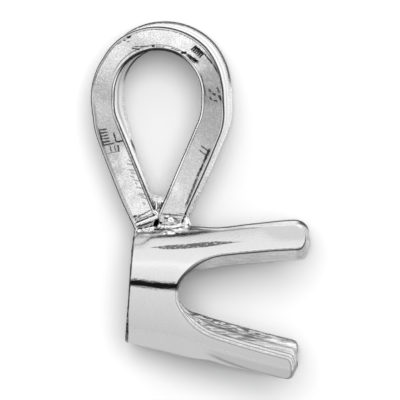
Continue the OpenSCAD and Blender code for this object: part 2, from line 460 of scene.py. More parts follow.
def strip_field(across, up, through):
    """The bent strip of the bail, without its solder."""
    outside, inside = ring_fields(across, up)
    left = across < 0
    leg = ramp(-up, *LEFT_LEG) * left
    inside = inside + (REAR_CUT * leg - REAR_LIP * (1 - leg) * left) * ramp(-through, *REAR_SIDE)
    ring = np.maximum(outside, inside)
    even, faces = face_fields(across, up, through)
    ring = ring - BURR * ramp(even, *BURR_START) * (through < 0)
    strip = bevel_max(faces, ring, STRIP_EDGE, STRIP_EDGE_LEAN)
    return round_max(strip, -up - LEG_DROP, STRIP_END_R)


def bead(x, y, z, start, end, radius):
    """Round bead of solder between two points."""
    a, b = np.array(start), np.array(end)
    way = b - a
    share = ((x - a[0]) * way[0] + (y - a[1]) * way[1] + (z - a[2]) * way[2]) / (way @ way)
    share = np.clip(share, 0, 1)
    dx, dy, dz = x - a[0] - share * way[0], y - a[1] - share * way[1], z - a[2] - share * way[2]
    return np.sqrt(dx**2 + dy**2 + dz**2) - radius


def solder_field(x, y, z, across, up, through):
    """Solder under the feet: ridges square to each leg, a low pad and a web in the crotch."""
    reach = np.abs(across)
    n = reach * math.cos(LEG_ANGLE) - up * math.sin(LEG_ANGLE)
    t = -reach * math.sin(LEG_ANGLE) - up * math.cos(LEG_ANGLE)
    lumps = LUMPS * solder_lumps(x, y, z) + LUMP_GRAIN * solder_grain(x, y, z)
    level = np.where(across < 0, t - LEFT_JOINT, -up - RIGHT_JOINT)
    ridge = RIDGE_HEIGHT * np.cos(level * (2 * math.pi / RIDGE_STEP) - RIDGE_PHASE)
    faces = np.abs(through) - FOOT_HALF_W - ridge
    sides = round_max(np.abs(n - LEG_MID_N) - LEG_HALF_N, faces, FOOT_EDGE_R)
    ends = np.maximum(-level, t - FOOT_END)
    feet = round_max(sides, ends, FOOT_END_R) - lumps * FOOT_LUMPS
    radius, _ = outer_radius(x)
    pad = np.maximum(np.hypot(y, z) - radius - PAD_T, np.maximum(PAD_START - x, x - PAD_END))
    pad = np.maximum(pad, np.maximum(np.abs(z) - FOOT_HALF_W - PAD_EXTRA_W, -y)) - lumps
    web = round_max(n - WEB_N, np.abs(through) - WEB_HALF_W, WEB_EDGE_R)
    web = np.maximum(web, up - (WEB_TOP + WEB_HOLLOW * across**2))
    web = np.maximum(web, -up - WEB_END) - lumps
    solder = round_min(round_min(feet, pad, FOOT_BLEND_R), web, WEB_BLEND_R)
    for start, end, size in BEADS:
        for side in (1, -1):
            solder = round_min(solder, bead(x, y, side * z, start, end, size), BEAD_BLEND_R)
    return round_max(solder, -bead(x, y, np.abs(z), *PIT), PIT_EDGE_R)


def setting_field(x, y, z):
    """The whole setting: negative inside the metal."""
    outer, inner = wall_fields(x, y, z)
    cut = cut_field(x, y, z)
    wall = np.maximum(outer, inner)
    head = round_max(wall, cut, WALL_EDGE_R)
    head = bevel_max(head, base_field(x, y), BASE_EDGE)
    lower = LOWER_PLANE[0] * x + LOWER_PLANE[1] * y + LOWER_PLANE[2] * z - LOWER_PLANE_AT
    head = round_max(head, lower - LOWER_PLANE_RISE * ramp(x, *LOWER_RISE_X), LOWER_EDGE_R)
    across, up, through = to_bail(x, y, z)
    strip = strip_field(across, up, through)
    solder = solder_field(x, y, z, across, up, through)
    joined = round_max(round_min(strip, solder, WEB_BLEND_R), inner, BORE_EDGE_R)
    body = round_min(head, joined, SOLDER_BLEND_R)
    return body + HEAD_WAVE * hand_finish(x, y, z)


def gradient(field, points, step=0.002):
    """Unit normals of the field at points, by central differences."""
    grad = np.empty_like(points)
    for axis in range(3):
        shift = np.zeros(3)
        shift[axis] = step
        ahead = field(*(points + shift).T)
        behind = field(*(points - shift).T)
        grad[:, axis] = ahead - behind
    grad /= np.maximum(np.linalg.norm(grad, axis=1), 1e-12)[:, None]
    return grad


def sample_grid(field, lo, hi, cell):
    """Values of the field at the nodes of a grid, and the grid's lines.

    Blocks of nodes whose middle is far from the surface keep that one value.
    """
    block = 8
    counts = [block * math.ceil((b - a) / cell / block) for a, b in zip(lo, hi)]
    lines = [a + cell * np.arange(n) for a, n in zip(lo, counts)]
    middles = [line[::block] + cell * (block - 1) / 2 for line in lines]
    far = field(*np.meshgrid(*middles, indexing="ij")).astype(np.float32)
    values = far.repeat(block, 0).repeat(block, 1).repeat(block, 2)
    reach = cell * block * 0.5 * math.sqrt(3) * 1.25
    near = np.argwhere(np.abs(far) < reach)
    offsets = np.stack(np.meshgrid(*[np.arange(block)] * 3, indexing="ij"), -1).reshape(-1, 3)
    batch = 1000
    for i in range(0, len(near), batch):
        nodes = (near[i : i + batch, None, :] * block + offsets).reshape(-1, 3)
        x, y, z = (line[nodes[:, axis]] for axis, line in enumerate(lines))
        values[tuple(nodes.T)] = field(x, y, z)
    return values, lines


def crossings(values, axis):
    """Grid edges along an axis that cross the surface: their first nodes and both values."""
    first = np.take(values, range(values.shape[axis] - 1), axis)
    second = np.take(values, range(1, values.shape[axis]), axis)
    where = np.argwhere((first < 0) != (second < 0))
    picked = tuple(where.T)
    return where, first[picked].astype(float), second[picked].astype(float)


def refine(field, start, end, first, second):
    """Points where the field is zero on short lines, by repeated linear steps."""
    low, high = start.copy(), end.copy()
    f_low, f_high = first.copy(), second.copy()
    for _ in range(3):
        share = np.clip(f_low / (f_low - f_high), 0.02, 0.98)
        points = low + (high - low) * share[:, None]
        f_mid = field(*points.T)
        same = (f_mid < 0) == (f_low < 0)
        low[same], f_low[same] = points[same], f_mid[same]
        high[~same], f_high[~same] = points[~same], f_mid[~same]
    share = f_low / (f_low - f_high)
    return low + (high - low) * share[:, None]


def dual_contour(field, lo, hi, cell):
    """Vertices and quads of the field's zero surface, one vertex in each cell it crosses."""
    values, lines = sample_grid(field, lo, hi, cell)
    shape = np.array(values.shape)
    origin = np.array([line[0] for line in lines])
    ids, points, normals, quads_ids = [], [], [], []
    for axis in range(3):
        where, first, second = crossings(values, axis)
        start = origin + where * cell
        end = start.copy()
        end[:, axis] += cell
        hit = refine(field, start, end, first, second)
        b, c = (axis + 1) % 3, (axis + 2) % 3
        ring = []
        for db, dc in ((-1, -1), (0, -1), (0, 0), (-1, 0)):
            node = where.copy()
            node[:, b] += db
            node[:, c] += dc
            ring.append(np.ravel_multi_index(tuple(node.T), shape))
        ring = np.stack(ring, 1)
        ring[second < 0] = ring[second < 0][:, ::-1]
        quads_ids.append(ring)
        ids.append(ring.ravel())
        points.append(np.repeat(hit, 4, axis=0))
        normals.append(np.repeat(gradient(field, hit), 4, axis=0))
    used, index = np.unique(np.concatenate(ids), return_inverse=True)
    points = np.concatenate(points)
    normals = np.concatenate(normals)
    count = np.bincount(index)

    def sums(rows):
        """Sums of the rows that belong to each cell."""
        return np.stack([np.bincount(index, column) for column in rows.T], 1)

    middle = sums(points) / count[:, None]
    offset = np.einsum("ij,ij->i", normals, points - middle[index])
    matrix = sums((normals[:, :, None] * normals[:, None, :]).reshape(-1, 9)).reshape(-1, 3, 3)
    matrix += (PULL_TO_MIDDLE * count)[:, None, None] * np.eye(3)
    target = sums(normals * offset[:, None])
    vertices = middle + np.linalg.solve(matrix, target[:, :, None])[:, :, 0]
    cell_low = origin + np.stack(np.unravel_index(used, shape), 1) * cell
    vertices = np.clip(vertices, cell_low, cell_low + cell)
    quads = np.searchsorted(used, np.concatenate(quads_ids))
    return vertices, quads


def settle(field, vertices, reach):
    """Moves vertices along the normal onto the surface, by at most reach."""
    for _ in range(2):
        normals = gradient(field, vertices)
        depth = np.clip(field(*vertices.T), -reach, reach)
        vertices = vertices - normals * depth[:, None]
    return vertices


def ramp(value, low, high):
    """0 below low, 1 above high and smooth between."""
    k = np.clip((value - low) / (high - low), 0, 1)
    return k * k * (3 - 2 * k)


def add_object(name, data):
    """New object in the scene."""
    item = bpy.data.objects.new(name, data)
    bpy.context.scene.collection.objects.link(item)
    return item


def thin_out(vertices, quads):
    """Triangles in place of the quads, with fewer of them where the surface is flat."""
    mesh = bpy.data.meshes.new("dense")
    mesh.from_pydata(vertices.tolist(), [], quads.tolist())
    dense = add_object("dense", mesh)
    thin = dense.modifiers.new("thin", "DECIMATE")
    thin.ratio = min(1.0, MOST_TRIANGLES / (2 * len(quads)))
    thin.use_collapse_triangulate = True
    graph = bpy.context.evaluated_depsgraph_get()
    result = dense.evaluated_get(graph).to_mesh()
    co = np.empty(3 * len(result.vertices))
    result.vertices.foreach_get("co", co)
    result.calc_loop_triangles()
    corners = np.empty(3 * len(result.loop_triangles), np.int32)
    result.loop_triangles.foreach_get("vertices", corners)
    bpy.data.objects.remove(dense)
    bpy.data.meshes.remove(mesh)
    return co.reshape(-1, 3), corners.reshape(-1, 3)


def bending(vertices, normals, faces):
    """How sharply the surface bends at each vertex, per millimetre: above 0 on outer edges."""
    total = np.zeros(len(vertices))
    count = np.zeros(len(vertices))
    for a, b in ((0, 1), (1, 2), (2, 0)):
        i, j = faces[:, a], faces[:, b]
        step = vertices[j] - vertices[i]
        length = np.maximum((step**2).sum(1), 1e-6)
        bend = ((normals[j] - normals[i]) * step).sum(1) / length
        for k in (i, j):
            total += np.bincount(k, bend, len(vertices))
            count += np.bincount(k, minlength=len(vertices))
    return total / np.maximum(count, 1)


def surface_masks(vertices):
    """Where each finish of the metal shows, and the coordinates of the strip for its marks."""
    x, y, z = vertices.T
    across, up, through = to_bail(x, y, z)
    strip = strip_field(across, up, through)
    solder = solder_field(x, y, z, across, up, through)
    outer, inner = wall_fields(x, y, z)
    cut_off, base_off = cut_field(x, y, z), base_field(x, y)
    head = np.maximum(np.maximum(outer, inner), cut_off)
    on_strip = ramp(-strip, -0.03, -0.012) * ramp(head, 0.03, 0.1)
    even, faces = face_fields(across, up, through)
    soldered = ramp(-solder, -0.045, -0.01) * ramp(np.minimum(strip, head), 0.0, 0.03)
    cut = ramp(np.maximum(cut_off, base_off), -0.03, -0.01)
    outside, inside = ring_fields(across, up)
    return {
        "face_off": faces,
        "rim_side": ramp(outside - inside, -0.1, 0.1),
        "outer_off": outer,
        "ring_off": np.maximum(outside, inside),
        "cut_off": cut_off,
        "base_off": base_off,
        "bore": ramp(inner, -0.05, -0.015) * (1 - cut) * (1 - on_strip),
        "satin": on_strip * ramp(even, -0.03, -0.012) * (1 - soldered),
        "strip": on_strip * (1 - soldered),
        "soldered": soldered,
        "cut": cut * (1 - soldered) * (1 - on_strip),
    }, np.stack([across, up, through], 1)


def flatten_normals(vertices, normals, masks):
    """Tips the normals of the collar's upper side, where the hand finish left it a little flat."""
    x, y, z = vertices.T
    around = np.degrees(np.arctan2(y, z))
    tip = np.interp(around, FLAT_ANGLES, FLAT_TIPS)
    tip = tip * ramp(x, *FLAT_START) * (1 - ramp(x, *FLAT_END))
    tip = tip * ramp(masks["outer_off"], -0.05, -0.01) * (1 - masks["strip"]) * (1 - masks["soldered"])
    tip = np.radians(tip * (1 - ramp(masks["cut_off"], -0.12, -0.04)))
    nx, ny, nz = normals.T
    return np.stack([nx, ny * np.cos(tip) + nz * np.sin(tip), nz * np.cos(tip) - ny * np.sin(tip)], 1)


def make_setting():
    """Builds the mesh of the setting, lays it on the table and keeps its masks."""
    low = [place - 3 * CELL for place in FIELD_LOW]
    high = [place + 3 * CELL for place in FIELD_HIGH]
    vertices, quads = dual_contour(setting_field, low, high, CELL)
    vertices = settle(setting_field, vertices, CELL / 3)
    vertices, faces = thin_out(vertices, quads)
    vertices = settle(setting_field, vertices, CELL / 6)
    normals = gradient(setting_field, vertices, 0.004)
    masks, strip_place = surface_masks(vertices)
    normals = flatten_normals(vertices, normals, masks)
    # Concave creases, where the metal gets painted shade
    masks["crevice"] = ramp(-bending(vertices, normals, faces), 2.0, 9.0)
    lay = np.array(LAY)
    placed = (vertices @ lay.T - np.array(REST_MID)) * MM
    mesh = bpy.data.meshes.new("pendant_setting_metal")
    mesh.from_pydata(placed.tolist(), [], faces.tolist())
    mesh.validate()
    mesh.polygons.foreach_set("use_smooth", [True] * len(mesh.polygons))
    for name, values in masks.items():
        mesh.attributes.new(name, "FLOAT", "POINT").data.foreach_set("value", values)
    for name, places in (("strip_place", strip_place), ("setting_place", vertices)):
        attribute = mesh.attributes.new(name, "FLOAT_VECTOR", "POINT")
        attribute.data.foreach_set("vector", places.astype(np.float32).ravel())
    mesh.normals_split_custom_set_from_vertices((normals @ lay.T).tolist())
    return add_object("pendant_setting_metal", mesh)


class Value:
    """Output of a node. Arithmetic on values that are numbers adds math nodes to their tree."""

    def __init__(self, tree, socket):
        self.tree = tree
        self.socket = socket

    def __add__(self, other):
        return self.tree.math("ADD", self, other)

    def __sub__(self, other):
        return self.tree.math("SUBTRACT", self, other)

    def __rsub__(self, other):
        return self.tree.math("SUBTRACT", other, self)

    def __mul__(self, other):
        return self.tree.math("MULTIPLY", self, other)

    def __abs__(self):
        return self.tree.math("ABSOLUTE", self)

    def at_least(self, other):
        return self.tree.math("MAXIMUM", self, other)

    def map(self, zone, first, last):
        """Goes smoothly from the first to the last level while this crosses a zone."""
        levels = {"From Min": zone[0], "From Max": zone[1], "To Min": first, "To Max": last}
        inputs = {"Value": self, **levels}
        return self.tree.add("ShaderNodeMapRange", inputs, interpolation_type="SMOOTHSTEP")

    def rise(self, zone, top=1.0):
        return self.map(zone, 0.0, top)

    def fall(self, zone, top=1.0):
        return self.map(zone, top, 0.0)

    def line(self, at, fade, top=1.0):
        """Mask of a line where this is at a level. The mask fades between two distances."""
        return abs(self - at).fall(fade, top)


class Tree:
    """Short calls for building a node tree."""

    def __init__(self, owner):
        owner.use_nodes = True
        self.nodes = owner.node_tree.nodes
        self.links = owner.node_tree.links
        self.nodes.clear()

    def node(self, kind, inputs=None, **settings):
        """Adds a node, with inputs that are plain or linked to values of the tree."""
        node = self.nodes.new(kind)
        for key, value in settings.items():
            setattr(node, key, value)
        for key, value in (inputs or {}).items():
            if isinstance(value, Value):
                self.links.new(value.socket, node.inputs[key])
            else:
                node.inputs[key].default_value = value
        return node

    def add(self, kind, inputs=None, output=0, **settings):
        """Adds a node and gives one of its outputs."""
        return Value(self, self.node(kind, inputs, **settings).outputs[output])

    def math(self, operation, *values):
        return self.add("ShaderNodeMath", dict(enumerate(values)), operation=operation)

    def vectors(self, operation, inputs, output=0):
        return self.add("ShaderNodeVectorMath", inputs, output, operation=operation)

    def attribute(self, name, output="Fac"):
        """One of the masks or places that the mesh keeps."""
        return self.add("ShaderNodeAttribute", None, output, attribute_name=name)

    def noise(self, vector, scale, detail, rough, output=0):
        inputs = {"Vector": vector, "Scale": scale, "Detail": detail, "Roughness": rough}
        return self.add("ShaderNodeTexNoise", inputs, output)

    def mix(self, factor, first, last):
        """The first of two numbers where the factor is 0, and the last where it is 1."""
        return self.add("ShaderNodeMix", {"Factor": factor, 2: first, 3: last}, data_type="FLOAT")

    def degrees(self, across, up):
        """Angle in degrees from up toward across."""
        return self.math("ARCTAN2", across, up) * (180 / math.pi)

    def split(self, vector):
        return [Value(self, part) for part in self.node("ShaderNodeSeparateXYZ", {0: vector}).outputs]

    def grey(self, tone):
        return self.add("ShaderNodeCombineColor", {"Red": tone, "Green": tone, "Blue": tone})


def tone_by_angle(tree, degrees, table):
    """Tone looked up in a table of (angle, tone) by an angle in degrees from -180 to 180."""
    node = tree.node("ShaderNodeValToRGB", {"Fac": tree.math("MULTIPLY_ADD", degrees, 1 / 360, 0.5)})
    stops = node.color_ramp
    while len(stops.elements) < len(table):
        stops.elements.new(0.5)
    for stop, (angle, tone) in zip(stops.elements, table):
        stop.position = angle / 360 + 0.5
        stop.color = (tone / TABLE_TOP, tone / TABLE_TOP, tone / TABLE_TOP, 1)
    return Value(tree, node.outputs[0]) * TABLE_TOP


def mark_mask(tree, x, y, x0, y0, x1, y1, half_width, strength):
    """Mask of a straight mark between two points, with tapered ends."""
    length = math.hypot(x1 - x0, y1 - y0)
    run, rise = (x1 - x0) / length, (y1 - y0) / length
    half_length = (length + half_width) / 2
    away = []
    for step_x, step_y, size in ((run, rise, half_length), (-rise, run, half_width)):
        shift = -((x0 + x1) / 2 * step_x + (y0 + y1) / 2 * step_y) / size
        offset = tree.math("MULTIPLY_ADD", y, step_y / size, shift)
        away.append(abs(tree.math("MULTIPLY_ADD", x, step_x / size, offset)))
    return away[0].at_least(away[1]).fall(MARK_FADE, strength)


def add_marks(tree, tone, x, y, marks, front, grit):
    """Lays dark and bright marks over a tone, where the mask of the front side is: tool marks, or painted
    highlights and painted shade.
    """
    dark, bright = 0.0, 0.0
    for *ends, half_width, level in marks:
        if level < 1:
            width, strength = DARK_MARK_WIDTH * half_width, 1 - DARK_MARK_LEVEL * level
            dark = tree.math("MAXIMUM", dark, mark_mask(tree, x, y, *ends, width, strength))
        else:
            bright = tree.math("MAXIMUM", bright, mark_mask(tree, x, y, *ends, half_width, 1.0))
    tone = tone * (1 - dark * front * grit)
    if isinstance(bright, Value):
        tone = tone + bright * front * (PAINTED_HIGHLIGHT_TONE - tone)
    return tone


def repeated_marks(start, step, reach, count, half_width, tone, uneven):
    """A row of short marks, each moved and stretched a little by a seeded share of uneven."""
    rng = np.random.default_rng(23)
    rows = []
    for i in range(count):
        x = start[0] + step[0] * i + uneven * rng.uniform(-1, 1)
        y = start[1] + step[1] * i + uneven * rng.uniform(-1, 1)
        stretch = 1 + MARK_STRETCH * uneven * rng.uniform(-1, 1)
        rows.append((x, y, x + reach[0] * stretch, y + reach[1], half_width, tone))
    return rows


# Noises of the metal: scale, detail and roughness, and the range that most of one lies in
PATCHES = (1.6, 5.0, 0.6)
FINE = (14.0, 4.0, 0.65)
GRAIN = (34.0, 2.0, 0.6)
RAGGED = (16.0, 2.0, 0.5)
SCRATCHES = (1.0, 3.0, 0.7)
CUT_STREAKS = (1.0, 2.0, 0.6)
SCRATCH_SCALE = (26.0, 2.0, 26.0)
CUT_STREAK_SCALE = (2.0, 22.0, 22.0)
RAGGED_BY = 0.05
NOISE = (0.3, 0.7)
NOISE_CORE = (0.35, 0.65)

# Roughness of each finish where its noise is low and where it is high
SATIN_ROUGH = (0.1, 0.24)
CUT_ROUGH = (0.3, 0.42)
POLISHED_ROUGH = (0.03, 0.07)
SOLDER_ROUGH = 0.08

# Bump: height of the cut faces, and of the patches, the fine noise and the grain everywhere
CUT_HEIGHT = 0.6
HEIGHTS = (0.3, 0.35, 0.12)
BUMP_STRENGTH = 0.25
BUMP_DEPTH = 0.02


class Metal(Tree):
    """Node tree of the metal, with the places and noises that its finishes share."""

    def __init__(self, material):
        super().__init__(material)
        self.place = self.attribute("setting_place", "Vector")
        self.strip_place = self.attribute("strip_place", "Vector")
        self.patches, self.fine, self.grain = (self.noise(self.place, *n) for n in (PATCHES, FINE, GRAIN))
        shift = self.vectors("SUBTRACT", {0: self.noise(self.place, *RAGGED, "Color"), 1: (0.5, 0.5, 0.5)})
        self.shift = self.vectors("SCALE", {0: shift, "Scale": RAGGED_BY})

    def ragged(self, place):
        """The three numbers of a place, moved a little so that lines drawn by them are ragged."""
        return self.split(self.vectors("ADD", {0: place, 1: self.shift}))

    def streaks(self, place, scale, noise):
        """Noise that is drawn out along one axis of a place."""
        return self.noise(self.add("ShaderNodeMapping", {"Vector": place, "Scale": scale}), *noise)


def surface_of(tree):
    """Roughness and bump of the metal."""
    satin, cut, soldered = (tree.attribute(name) for name in ("satin", "cut", "soldered"))
    rough = satin * tree.patches.map(NOISE, *SATIN_ROUGH)
    rough = rough + cut * tree.fine.map(NOISE, *CUT_ROUGH)
    rough = rough + soldered * SOLDER_ROUGH
    rough = rough + tree.fine.map(NOISE, *POLISHED_ROUGH)
    height = satin * tree.streaks(tree.strip_place, SCRATCH_SCALE, SCRATCHES)
    height = height + cut * (tree.fine * CUT_HEIGHT)
    height = height + soldered * tree.fine
    for noise, share in zip((tree.patches, tree.fine, tree.grain), HEIGHTS):
        height = height + noise * share
    bump = {"Height": height, "Strength": BUMP_STRENGTH, "Distance": BUMP_DEPTH * MM}
    return rough, tree.add("ShaderNodeBump", bump)


# Satin faces: how far noise moves their patches of painted reflection, in degrees, and levels of speckle
# and mottle
PATCH_DRIFT = 9.0
SPECKLE = (0.88, 1.1)
MOTTLE = (0.9, 1.08)

# Part of the loop, by the coordinate up, where the painted dark lines of its front edges get strong
UPPER_HALF = (0.0, 0.45)

# Painted reflections as dark lines along the wall of the loop: place through its width, zone up from which
# they show, strength
OUTER_WALL_LINES = [(0.3, (-2.0, -1.4), 0.75), (-0.45, (-0.3, 0.1), 0.6)]
OUTER_WALL_LINE = (0.07, 0.2)

# Tones painted bright: painted highlights on the facets and the bright marks of the solder, and walls, bore
# and cut faces painted bright
PAINTED_HIGHLIGHT_TONE = 1.33
WALL_TONE = 1.3


def face_tone(tree, across, up, through):
    """Tone of the satin faces: painted reflections in patches round the loop, speckle and the marks of
    tools.
    """
    around = tree.degrees(across, up) + tree.patches.map(NOISE, -PATCH_DRIFT, PATCH_DRIFT)
    face = tone_by_angle(tree, around, FACE_REFLECTION_TONES)
    face = face * (tree.grain.map(NOISE_CORE, *SPECKLE) * tree.fine.map(NOISE, *MOTTLE))
    marks = STRIP_MARKS + [mark for row in MARK_ROWS for mark in repeated_marks(*row)]
    front, grit = through.rise((0.1, 0.2)), tree.fine.map((0.3, 0.5), 0.65, 1.0)
    return add_marks(tree, face, across, up, marks, front, grit)


def strip_tone(tree):
    """Tone of the strip: satin faces, facets and walls painted bright, and painted dark lines between them.
    """
    across, up, through = tree.ragged(tree.strip_place)
    face = face_tone(tree, across, up, through)
    rim_side, ring_off = tree.attribute("rim_side"), tree.attribute("ring_off")
    near_face = tree.attribute("face_off").rise((-0.14, -0.1))
    left = across.fall((-0.2, 0.1))
    inner_side = 1 - rim_side
    outer_left, outer_right = rim_side * left, rim_side * (1 - left)

    # Face: painted reflections, a patchy dark line along its inner edge and a grey band along the left leg
    low_leg = left * up.fall((-1.0, -0.6)) * inner_side
    patchy = tree.patches.map((0.42, 0.6), 0.2, 0.5).at_least(low_leg * 0.8)
    face = face * (1 - ring_off.line(-0.07, (0.01, 0.022)) * patchy * inner_side)
    leg_band = outer_left * up.fall((-0.5, 0.0)) * ring_off.rise((-0.13, -0.105), 0.34)
    face = face * (1 - leg_band)

    # Facet: a painted highlight, darker on the left, with a painted dark line where it meets the wall
    rim_line = (ring_off + outer_right * 0.014).rise((-0.036, -0.024), 0.9)
    rim_line = rim_line * through.rise((-0.2, 0.2)).at_least(up.map(UPPER_HALF, 0.1, 0.8))
    facet = PAINTED_HIGHLIGHT_TONE - outer_left * 0.55
    facet = facet - rim_line * facet

    # Wall: painted bright, a little less on the right, with painted reflections of the studio's edge as
    # lines along it
    wall = WALL_TONE - outer_right * 0.27
    for at, shown, level in OUTER_WALL_LINES:
        wall = wall * (1 - through.line(at, OUTER_WALL_LINE, level) * outer_right * up.rise(shown))
    wall_line = through.line(0.12, (0.16, 0.3), 0.93) * (inner_side * left)
    wall = wall * (1 - wall_line * up.rise((-1.6, -1.0)))
    tone = tree.mix(ring_off.rise((-0.062, -0.052)), face, tree.mix(near_face, wall, facet))

    # Painted shade: a dark line on the burr along the rear edges, and two dark lines inside the top of the
    # loop
    fade = up.map(UPPER_HALF, 0.12, 0.8).at_least(left * 0.2) * (1 - inner_side * 0.5)
    tone = tone * (1 - ring_off.rise((0.002, 0.01)) * fade)
    crown = up.rise((0.3, 0.8)) * across.fall((0.5, 1.0)) * inner_side * near_face
    tone = tone * (1 - ring_off.rise((-0.085, -0.065), 0.95) * crown)
    return tone * (1 - ring_off.line(-0.15, (0.01, 0.025), 0.5) * crown)


# Zone between the lower and the upper prongs, and how far noise moves the painted shade deep in the cuts
MIDDLE_Y = (-0.2, 0.2)
CUT_DEEP_DRIFT = 0.07

# Levels of the finishes: the polished metal, the bore in painted shade, the cut faces painted lighter on
# the lower prongs, the painted shade deep in the lower cuts, the solder and the painted shade in crevices
POLISHED = (0.96, 1.03)
BORE_SHADE_NOISE, BORE_SHADE = (0.42, 0.58), (0.2, 0.95)
CUT_LIGHT_BY_SIDE = (1.2, 1.12)
DEEP_NOISE, DEEP = (0.4, 0.6), (0.6, 0.05)
SOLDER_NOISE, SOLDER = (0.32, 0.6), (1.05, 1.33)
CREVICE_SHADE = 0.25

# Painted shade on the rim of the back end, and a painted reflected streak on the collar and a painted dark
# band on the lower prongs, which slant by a factor of x and a shift
BASE_WIDE_Y, BASE_LINE_EXTRA = (-1.3, -0.6), 0.045
BASE_DARK_Y, BASE_NOISE = (-1.0, -0.4), (0.36, 0.52)
REFLECTED_STREAK_SLANT, REFLECTED_STREAK_HALF_WIDTH = (-0.3, 43.0), 2.8
REFLECTED_STREAK_START_X, REFLECTED_STREAK_END_X = (0.3, 1.0), (1.8, 3.0)
BAND_SLANT = (-0.15, 0.675)

# Painted shade and painted reflections on the head, as dark streaks. Each is the product of its fades: the
# value that a fade runs along, the zone that it fades in, and its levels before and after that zone
HEAD_PAINTED_STREAKS = {
    "back rim": [("base", (-0.055, -0.035), 0, 1), ("base_dark",)],
    "lower cut edges": [("cut_line", (0.008, 0.022), 0.4, 0), ("y", (-0.2, 0.2), 1, 0)],
    "front notch": [
        ("y", (-0.05, 0.1), 0, 1), ("x", (1.25, 2.1), 0.9, 0),
        ("cut_off", (-0.08, -0.05), 0, 1), ("z", (0.0, 0.4), 0, 1),
    ],
    # Painted reflection: a dark streak along the collar's upper side
    "painted reflected streak": [("drag", (-0.1, 0.5), 0, 0.8), ("fine", (0.35, 0.5), 0.3, 1)],
    "upper side": [("turned", (70, 77), 0, 0.78), ("x", (2.3, 3.0), 1, 0), ("turned", (100, 110), 1, 0)],
    "wedge": [
        ("turned", (54, 60), 0, 0.45), ("turned", (70, 80), 1, 0),
        ("x", (2.0, 3.5), 1, 0), ("streaks", (0.35, 0.6), 0.6, 1.1),
    ],
    "upper tips": [
        ("outer_off", (-0.2, -0.12), 0, 0.9), ("x", (4.05, 4.2), 0, 1),
        ("y", (-0.2, 0.2), 0, 1), ("z", (-0.6, -0.3), 1, 0),
    ],
    "lower prongs": [
        ("band", (-0.06, 0.0), 0.14, 0.5), ("band", (0.0, 0.15), 1, 0.1),
        ("turned", (-47, -44), 1, 0), ("x", (2.0, 2.5), 0, 1),
    ],
}


def bore_tone(x, upper, streaks):
    """Tone of the bore: painted shade, dark and streaked, between the prongs, and painted bright inside the
    collar.
    """
    bore_shade = streaks.map(BORE_SHADE_NOISE, *BORE_SHADE) + x.rise((3.3, 3.45), 0.5)
    bore_shade = bore_shade.at_least(upper * x.fall((1.9, 2.2), WALL_TONE))
    return bore_shade.at_least(x.fall((1.4, 1.6), WALL_TONE))


def cut_tone(tree, x, y, upper, lower, outer_off, streaks):
    """Tone of the machined cut faces, painted lighter on the lower prongs and near the collar, with painted
    shade deep in the lower cuts and at the upper tips, and painted dark lines along them.
    """
    cut = tree.grain.map(NOISE_CORE, 0.9, 1.05) * y.map((-0.4, 0.4), *CUT_LIGHT_BY_SIDE)
    cut = cut * streaks.map(NOISE_CORE, 0.88, 1.08)
    deep = outer_off + streaks.map(NOISE, -CUT_DEEP_DRIFT, CUT_DEEP_DRIFT)
    deep = deep.fall((-0.24, -0.19)) * lower * x.map((3.2, 3.8), 1.0, 0.35)
    cut = cut * (1 - x.rise((4.2, 4.3), 0.28) * upper)
    cut = cut * (1 - deep * streaks.map(DEEP_NOISE, *DEEP))
    cut = cut.at_least(x.fall((1.4, 1.7), WALL_TONE))
    for depth, fade, level, side in CUT_LINES:
        cut = cut * (1 - outer_off.line(-depth, fade, level) * (upper if side > 0 else lower))
    return cut


def head_tone(tree, x, y, z):
    """Tone of the collar and prongs: polished, cut, or a bore in painted shade, with painted shade and
    painted reflections as dark streaks.
    """
    upper, lower = y.rise(MIDDLE_Y), y.fall(MIDDLE_Y)
    outer_off, cut_off = tree.attribute("outer_off"), tree.attribute("cut_off")
    streaks = tree.streaks(tree.place, CUT_STREAK_SCALE, CUT_STREAKS)
    tone = tree.grain.map(NOISE, *POLISHED)
    bore = bore_tone(x, upper, streaks)
    cut = cut_tone(tree, x, y, upper, lower, outer_off, streaks)
    for name, level in (("bore", bore), ("cut", cut)):
        tone = tone * (1 - tree.attribute(name) * (1 - level))

    turned = tree.degrees(y, z)
    width = x.rise(REFLECTED_STREAK_START_X, REFLECTED_STREAK_HALF_WIDTH) * x.fall(REFLECTED_STREAK_END_X)
    values = {
        "x": x, "y": y, "z": z, "turned": turned, "outer_off": outer_off, "cut_off": cut_off,
        "fine": tree.fine, "streaks": streaks,
        "base": tree.attribute("base_off") + y.fall(BASE_WIDE_Y, BASE_LINE_EXTRA),
        "base_dark": y.rise(BASE_DARK_Y, 0.8).at_least(tree.fine.map(BASE_NOISE, 0.45, 0.98)),
        "cut_line": abs(cut_off + 0.05),
        "drag": width - abs(turned - tree.math("MULTIPLY_ADD", x, *REFLECTED_STREAK_SLANT)),
        "band": cut_off + tree.math("MULTIPLY_ADD", x, *BAND_SLANT),
    }
    for streak in HEAD_PAINTED_STREAKS.values():
        fades = [values[name].map(*fade) if fade else values[name] for name, *fade in streak]
        tone = tone * (1 - math.prod(fades[1:], start=fades[0]))
    return tone


